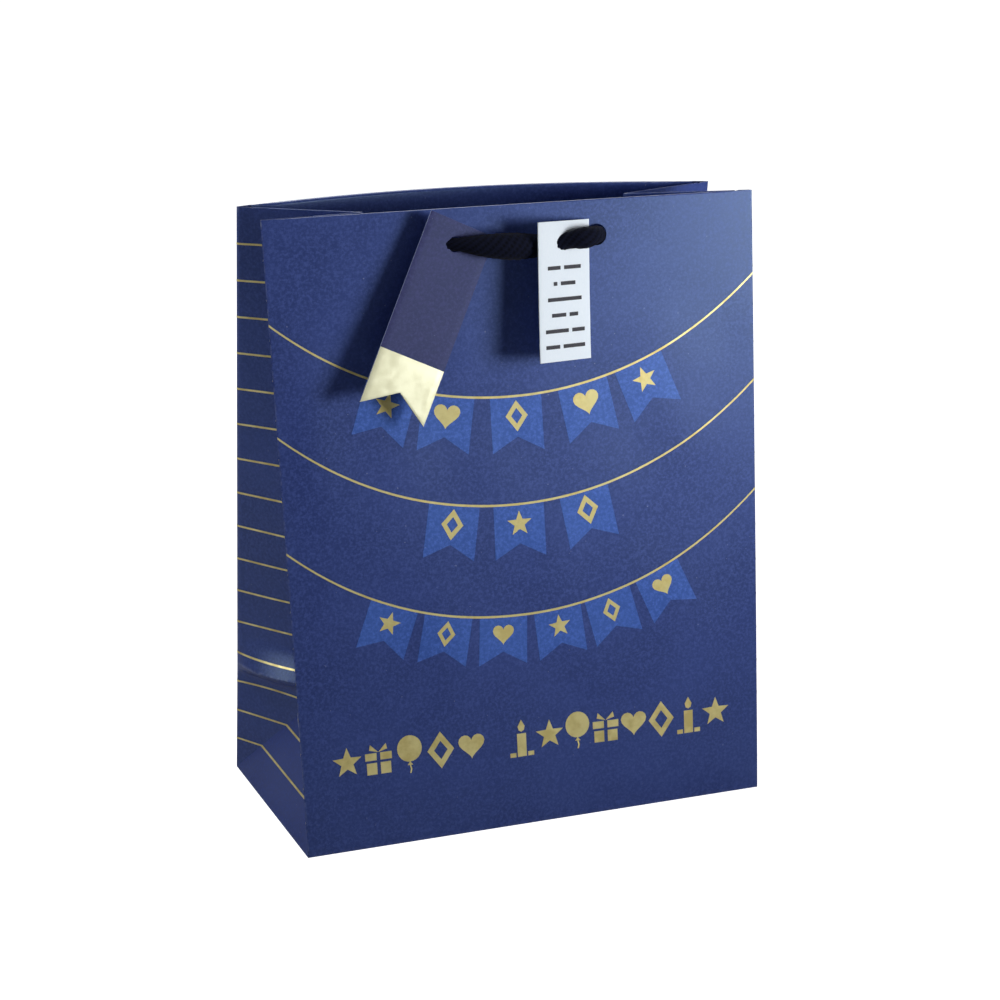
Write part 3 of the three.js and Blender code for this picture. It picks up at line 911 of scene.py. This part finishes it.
def make_artwork(region):
    """Strings of flags over a band of motifs; it reads the same way from outside on both panels."""
    flags = Artwork(region, PRINT_LIFT)
    stamped = Artwork(region, FOIL_LIFT)
    for string, places in enumerate(FLAG_PLACES):
        rows = []
        for x in spread(-HALF_WIDTH + 0.1, HALF_WIDTH - 0.1, 90):
            up = string_height(string, x)
            rows.append([(x, up - STRING_WIDTH / 2), (x, up + STRING_WIDTH / 2)])
        stamped.add_grid(rows)
        for x, motif in zip(places, FLAG_MOTIFS[string]):
            add_flag(flags, string, x)
            origin, along, down = hang(string, x)
            size = FLAG_MOTIF_SIZES[string][0 if motif == "star" else 1]
            centre = origin + down * FLAG_MOTIF_DROPS[string]
            stamped.add_motif(motif, centre, size, math.atan2(along.y, along.x))
    for (start, motifs), pitch in zip(BAND_MOTIFS, BAND_PITCH):
        for i, motif in enumerate(motifs):
            x = start + pitch * (i + 0.45)
            stamped.add_motif(motif, (x, BAND_BASELINE + BAND_HEIGHT / 2), BAND_SIZES[motif])
    return [flags.finish(f"{region}_flags", flag_print), stamped.finish(f"{region}_foil", foil)]


STRIPE_WIDTH = 0.85
STRIPE_COUNT = 16
STRIPE_PITCH = 15.0
STRIPE_SETTLE = 4.0  # how much lower than at an even pitch they are half way down


def stripe_height(number):
    settle = STRIPE_SETTLE * math.sin(math.pi * (number / (STRIPE_COUNT + 0.5)) ** 1.3)
    return PAPER_HEIGHT - STRIPE_PITCH * number - settle


def make_stripes(name, regions):
    """Gold lines round a gusset; below the diagonals they run on across the base triangle."""
    vertices = []
    faces = []
    for number in range(1, STRIPE_COUNT + 1):
        up = stripe_height(number)
        places = []
        for region in regions:
            if not region.endswith("base"):
                places += [(region, a) for a in GUSSET_SHARES]
            elif up <= CREASE_HEIGHT:
                places += [(region, a) for a in spread(0, 1, 10)]
        first = len(vertices)
        for edge in (-STRIPE_WIDTH / 2, STRIPE_WIDTH / 2):
            vertices += [on_sheet(region, a, up + edge, FOIL_LIFT) for region, a in places]
        faces += [tuple(first + i for i in face) for face in grid_faces(2, len(places))]
    stripes = new_object(name, vertices, faces, [foil], smooth=False)
    weld(stripes, 0.05)
    apply_modifiers(stripes)
    return stripes


# ---- Cords ----
CORD_ROUTES = {
    "front": [
        (-45.7, -30.5, 101.4), (-47.2, -27.7, 131.2), (-46.5, -24.5, 161.1), (-45.5, -21.4, 190.9),
        (-44.5, -17.7, 220.7), (-43.9, -18.1, 231.1), (-42.5, -19.6, 235.1), (-40.3, -21.9, 238.2),
        (-37.6, -25.0, 240.0), (-33.7, -29.5, 240.7), (-27.5, -33.4, 240.9), (-16.6, -36.1, 240.1),
        (3.0, -35.5, 238.7), (9.6, -35.9, 239.2), (16.2, -39.2, 240.9), (20.0, -40.5, 241.4),
        (23.6, -39.1, 241.6), (27.7, -34.6, 241.2), (30.1, -30.5, 240.1), (32.1, -27.3, 237.9),
        (33.7, -24.9, 234.5), (34.7, -23.6, 230.3), (36.0, -24.9, 215.4), (38.5, -27.9, 185.7),
        (40.8, -30.3, 155.9), (42.4, -32.2, 126.0), (42.3, -33.6, 102.0),
    ],
    "back": [
        (-46.0, 26.1, 100.7), (-47.5, 23.5, 130.5), (-46.7, 20.8, 160.4), (-45.7, 18.7, 190.3),
        (-44.8, 16.4, 220.1), (-44.1, 16.7, 229.1), (-42.8, 18.3, 233.0), (-40.7, 20.9, 236.0),
        (-38.1, 24.1, 237.8), (-35.2, 27.4, 238.3), (-31.5, 29.9, 237.9), (-22.1, 32.4, 236.4),
        (0.4, 31.5, 235.0), (18.5, 29.9, 237.0), (23.6, 27.4, 237.7), (26.8, 24.5, 238.0),
        (30.0, 19.7, 236.9), (31.8, 16.5, 234.5), (33.2, 14.0, 231.1), (33.9, 12.8, 226.8),
        (34.7, 13.2, 213.4), (37.2, 16.3, 183.7), (39.8, 18.6, 153.9), (41.4, 21.8, 124.2),
        (41.6, 24.3, 100.3),
    ],
}
GIFT_TAG_HOLE = Vector((-30.5, -31.6, 240.9))
INFO_TAG_HOLE = Vector((12.5, -37.9, 240.2))
CORD_RADIUS = 3.3
CORD_FULLNESS = {  # where the cord is pinched or slack: place, radius, reach along it
    "front": [
        (GIFT_TAG_HOLE, 2.3, 6.5),
        (Vector((-8.5, -36.2, 239.4)), 5.3, 15.0),
        (Vector((14.3, -38.1, 240.4)), 2.9, 4.0),
        (Vector((20.5, -39.8, 241.4)), 4.1, 5.5),
    ],
    "back": [
        (Vector((0.4, 31.5, 235.0)), 4.6, 24.0),
    ],
}
STRANDS = 8
STRAND_RELIEF = 0.34
STRAND_PITCH = 25.0  # length of one full turn of the lay
CORD_STEP = 0.8
KNOT_CORD_RADIUS = 2.35
KNOT_SIZE = 1.35
KNOT_POINTS = 150


def smooth_route(points):
    """A centripetal Catmull-Rom curve through the points, as the CAD model has it, in even steps."""
    points = [Vector(p) for p in points]
    padded = [2 * points[0] - points[1], *points, 2 * points[-1] - points[-2]]
    dense = []
    for p0, p1, p2, p3 in zip(padded, padded[1:], padded[2:], padded[3:]):
        t1 = math.sqrt((p1 - p0).length)
        t2 = t1 + math.sqrt((p2 - p1).length)
        t3 = t2 + math.sqrt((p3 - p2).length)
        for t in spread(t1, t2, 40)[:-1]:
            a1 = p0.lerp(p1, t / t1)
            a2 = p1.lerp(p2, (t - t1) / (t2 - t1))
            a3 = p2.lerp(p3, (t - t2) / (t3 - t2))
            b1 = a1.lerp(a2, t / t2)
            b2 = a2.lerp(a3, (t - t1) / (t3 - t1))
            dense.append(b1.lerp(b2, (t - t1) / (t2 - t1)))
    dense.append(points[-1])
    even = [dense[0]]
    walked = 0.0
    for start, end in zip(dense, dense[1:]):
        walked += (end - start).length
        if walked >= CORD_STEP:
            even.append(end)
            walked = 0.0
    return even


def route_frames(path):
    """A direction across the path at each point, carried along it without twist."""
    across = (path[1] - path[0]).orthogonal().normalized()
    frames = []
    for i, point in enumerate(path):
        ahead = path[min(i + 1, len(path) - 1)]
        behind = path[max(i - 1, 0)]
        along = (ahead - behind).normalized()
        across = (across - along * across.dot(along)).normalized()
        frames.append((point, across, along.cross(across)))
    return frames


def rope_tube(name, path, radius_at, around=56):
    """A closed tube with shallow strands wound round it."""
    vertices = []
    height = []
    walked = 0.0
    frames = route_frames(path)
    for i, (point, across, side) in enumerate(frames):
        if i:
            walked += (point - frames[i - 1][0]).length
        radius = radius_at(point)
        twist = 2 * math.pi * walked / STRAND_PITCH
        for k in range(around):
            angle = 2 * math.pi * k / around
            strand = abs(math.cos(STRANDS / 2 * (angle + twist)))
            fuzz = 0.05 * noise.noise(point * 0.9 + Vector((k * 0.9, 0, 0)))
            reach = radius + STRAND_RELIEF * (strand - 0.7) + fuzz
            vertices.append(point + (across * math.cos(angle) + side * math.sin(angle)) * reach)
            height.append(smooth_step(0.15, 0.85, strand))
    tube = new_object(name, vertices, tube_faces(len(frames), around), [cord_look])
    # The strand values are high on the strand tops and low in the grooves, where the material paints
    # shade.
    set_point_values(tube, "strand", height)
    return tube


def make_knot(name, node, body, lean):
    """An overhand knot: a trefoil of the same cord, pulled tight, where the CAD model's knot is."""
    low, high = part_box(node)
    centre = (Vector(low) + Vector(high)) / 2 / MM
    tilt = Matrix.Rotation(math.radians(lean), 3, "Z") @ Matrix.Rotation(math.radians(74), 3, "X")
    loop = []
    for i in range(KNOT_POINTS):
        t = 2 * math.pi * i / (KNOT_POINTS - 0.5)
        ring = 2 + math.cos(3 * t)
        turn = Vector((ring * math.cos(2 * t), ring * math.sin(2 * t), 1.25 * math.sin(3 * t)))
        loop.append(centre + tilt @ (turn * KNOT_SIZE))
    knot = rope_tube(name, loop, lambda point: KNOT_CORD_RADIUS, around=40)
    put(knot, body, "cord", node)
    return knot


def make_handle(side, body):
    """A handle cord with its two stop knots."""
    path = smooth_route(CORD_ROUTES[side])

    def radius_at(point):
        radius = CORD_RADIUS
        for place, size, reach in CORD_FULLNESS[side]:
            near = math.exp(-((point - place).length / reach) ** 2)
            radius += (size - CORD_RADIUS) * near
        return radius

    cord = rope_tube(f"{side}_cord", path, radius_at)
    put(cord, body, "cord", f"{side}_handle_cord")
    knots = [make_knot(f"{side}_stop_knot_{end}", f"{side}_knot_{end}", body, lean)
             for end, lean in (("left", 20), ("right", 65))]


# ---- Tags ----
# A tag is drawn hanging from its hole, its own origin: x across, y up, z toward the viewer.
def tag_axes(lean, turn, swing):
    turns = ((90 + lean, "X"), (swing, "Z"), (turn, "Y"))
    first, second, third = (Matrix.Rotation(math.radians(angle), 3, axis) for angle, axis in turns)
    return first @ second @ third


# "lower" is the length of the part at the foot, which is gold on the gift tag.
GIFT_TAG = {
    "width": 29.0, "length": 79.0, "lower": 22.9, "notch": 9.0, "thickness": 0.6, "curl": 0.9,
    "at": GIFT_TAG_HOLE, "axes": tag_axes(lean=-9, turn=4, swing=-25.5),
    "hole": 6.2, "hole_drop": 8.5, "hole_x": 0.0,
}
INFO_TAG = {
    "width": 27.0, "length": 55.0, "lower": 22.0, "notch": 0.0, "thickness": 0.4, "curl": 0.8,
    "at": INFO_TAG_HOLE, "axes": tag_axes(lean=-8, turn=20, swing=-2),
    "hole": 6.6, "hole_drop": 8.0, "hole_x": 2.4,
}


def on_tag(tag, x, y, lift=0.0):
    """A point on the front of a tag, which comes forward a little toward its lower end."""
    down = (tag["hole_drop"] - y) / tag["length"]
    forward = tag["thickness"] / 2 + tag["curl"] * (down ** 2 - 0.25 * down) + lift
    return tag["at"] + tag["axes"] @ Vector((x, y, forward))


def make_tag(name, tag, materials):
    """A card cut to shape, with rounded edges and a hole; its lower part has the second material."""
    top = tag["hole_drop"]
    bottom = top - tag["length"]
    split = bottom + tag["lower"]
    columns = spread(-1, 1, 10)
    shares = spread(0, 1, 16)
    lower_faces = (len(shares) - 1) * (len(columns) - 1)

    def place(across, share, part):
        foot = bottom + tag["notch"] * (1 - abs(across))
        y = mix(top, split, share) if part == 0 else mix(split, foot, share)
        return on_tag(tag, across * tag["width"] / 2, y)

    rows = [(share, 0) for share in shares] + [(share, 1) for share in shares[1:]]
    vertices = [place(across, share, part) for share, part in reversed(rows) for across in columns]
    piece = new_object(name, vertices, grid_faces(len(rows), len(columns)), materials)
    for polygon in piece.data.polygons[:lower_faces]:
        polygon.material_index = 1
    set_point_values(piece, "wear", [0.0] * len(vertices))
    thicken(piece, tag["thickness"], edge_material=len(materials) - 1)
    hole = tag["at"] + tag["axes"] @ Vector((tag["hole_x"], 0, 0))
    drill(piece, hole, tag["axes"] @ Vector((0, 0, 1)), tag["hole"], length=6)
    round_folds(piece, 0.1, angle=50)
    apply_modifiers(piece)
    tag_name = name.replace("_card", "")
    put(piece, tag_name, name, tag_name)


DASHES = ((6.8, 9.0), (2.0, 7.8), (18.0,), (7.6, 4.6), (12.2, 6.8), (7.4, 11.6))
DASH_GAP = 1.8
DASH_HALF_HEIGHT = 0.75
DASH_ROW_PITCH = 6.2
DASH_ROWS_START = 18.2  # below the top of the tag


def make_placeholder_lines(tag):
    """Rows of plain dashes where such a tag carries its small print."""
    vertices = []
    faces = []
    for number, dashes in enumerate(DASHES):
        y = tag["hole_drop"] - DASH_ROWS_START - DASH_ROW_PITCH * number
        x = -(sum(dashes) + DASH_GAP * (len(dashes) - 1)) / 2
        for dash in dashes:
            first = len(vertices)
            for py in (y - DASH_HALF_HEIGHT, y + DASH_HALF_HEIGHT):
                vertices += [on_tag(tag, px, py, lift=0.07) for px in (x, x + dash)]
            faces.append((first, first + 1, first + 3, first + 2))
            x += dash + DASH_GAP
    lines = new_object("info_tag_lines", vertices, faces, [ink_marks], smooth=False)
    put(lines, "info_tag", "info_tag_card")


def bend_with_mouth(piece, slot, *nodes):
    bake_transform(piece)
    if nodes:
        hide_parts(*nodes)


PANEL_BODIES = {"front": "front_body", "back": "rear_body"}

for side, body in PANEL_BODIES.items():
    make_handle(side, body)

bend_with_mouth(make_shell(), "printed_paper", "front_panel", "back_panel_lower", "back_panel_upper",
                *[f"{side}_gusset_{half}_{part}" for side in ("left", "right")
                  for half in ("front", "rear") for part in ("lower", "upper")],
                "left_base_triangle", "right_base_triangle")

hems = make_hems()
for side, body in PANEL_BODIES.items():
    put(hems[side], body, "printed_paper", f"{side}_hem")
for side in ("left", "right"):
    bend_with_mouth(hems[side], "gusset_paper", f"{side}_gusset_front_hem", f"{side}_gusset_rear_hem")

bend_with_mouth(make_side_seam(), "uncoated_paper", "side_seam_flap")

for name, side, bottom in (("rear", 1, 0.0), ("front", -1, 0.45)):
    flap = make_base_flap(f"base_flap_{name}_sheet", side, bottom)
    put(flap, "rear_body", "printed_paper", f"base_flap_{name}")

for region, body in PANEL_BODIES.items():
    for piece in make_artwork(region):
        put(piece, body, "printed_paper")

for side, regions in (("left", ("left_rear", "left_base", "left_front")),
                      ("right", ("right_front", "right_base", "right_rear"))):
    bend_with_mouth(make_stripes(f"{side}_gusset_stripes", regions), "gusset_paper")

make_tag("gift_tag_card", GIFT_TAG, [tag_print, pale_foil, cut_edge])
make_tag("info_tag_card", INFO_TAG, [tag_paper, tag_paper])
make_placeholder_lines(INFO_TAG)

# Hidden pieces keep the CAD model's shape.
for material, nodes in ((greyboard, ("front_top_card", "back_top_card", "base_board")),
                        (inner_paper, ("base_flap_left", "base_flap_right"))):
    for node in nodes:
        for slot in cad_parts[node].material_slots:
            slot.material = material


# ---- Floor, light and picture ----
FLOOR_GLOW = 1.0
FLOOR_HALF_SIZE = 40000
AREA_LIGHTS = (  # name, place, target, size, power, angle of its spread
    ("key", (0.33, -0.43, 0.258), (0.03, -0.03, 0.235), 0.24, 0.5, 80),
    ("high_fill", (-0.45, 0.02, 0.95), (-0.1, 0.0, 0.1), 0.4, 2.0, 180),
    ("left_fill", (-0.90, 0.08, 0.42), (-0.1, 0.0, 0.06), 0.3, 1.4, 180),
    ("rear_fill", (0.3, 0.85, 0.75), (0, 0, 0.12), 0.5, 3.0, 180),
)


def add_floor():
    """A wide white floor: bright in the picture, but giving the bag only a little bounced light."""
    look = Look("floor", roughness=0.8)
    look.colour(look.blend(look.noise(300, detail=1), (0.50, 0.50, 0.50), (0.52, 0.52, 0.52)))
    look.shader.inputs["Emission Color"].default_value = (1, 1, 1, 1)
    seen = look.node("ShaderNodeLightPath").outputs["Is Camera Ray"]
    look.link(look.math("MULTIPLY", seen, FLOOR_GLOW), look.shader.inputs["Emission Strength"])
    corners = [Vector((x * FLOOR_HALF_SIZE, y * FLOOR_HALF_SIZE, -0.05))
               for x, y in ((-1, -1), (1, -1), (1, 1), (-1, 1))]
    new_object("floor", corners, [(0, 1, 2, 3)], [look.material])


def add_area_light(name, place, target, size, power, spread_angle):
    data = bpy.data.lights.new(name, "AREA")
    data.shape = "DISK"
    data.size = size
    data.energy = power
    data.spread = math.radians(spread_angle)
    light = bpy.data.objects.new(name, data)
    bpy.context.scene.collection.objects.link(light)
    aim = (Vector(target) - Vector(place)).to_track_quat("-Z", "Y")
    light.matrix_world = Matrix.Translation(Vector(place)) @ aim.to_matrix().to_4x4()


def add_overhead_light(strength, softness):
    """Even light from straight above, so that the floor is as bright far off as it is near by."""
    data = bpy.data.lights.new("overhead", "SUN")
    data.energy = strength
    data.angle = math.radians(softness)
    bpy.context.scene.collection.objects.link(bpy.data.objects.new("overhead", data))


def light_scene():
    world = bpy.data.worlds.new("studio")
    world.use_nodes = True
    tree = world.node_tree
    background = tree.nodes["Background"]
    background.inputs["Color"].default_value = (1, 1, 1, 1)
    path = tree.nodes.new("ShaderNodeLightPath")
    strength = tree.nodes.new("ShaderNodeMapRange")
    strength.inputs["To Min"].default_value = 0.06  # what it lights the bag with
    strength.inputs["To Max"].default_value = 1.0  # how it looks to the camera
    tree.links.new(path.outputs["Is Camera Ray"], strength.inputs["Value"])
    tree.links.new(strength.outputs["Result"], background.inputs["Strength"])
    scene = bpy.context.scene
    scene.world = world
    scene.view_settings.view_transform = "Standard"
    for light in AREA_LIGHTS:
        add_area_light(*light)
    add_overhead_light(strength=0.3, softness=60)


add_floor()
light_scene()
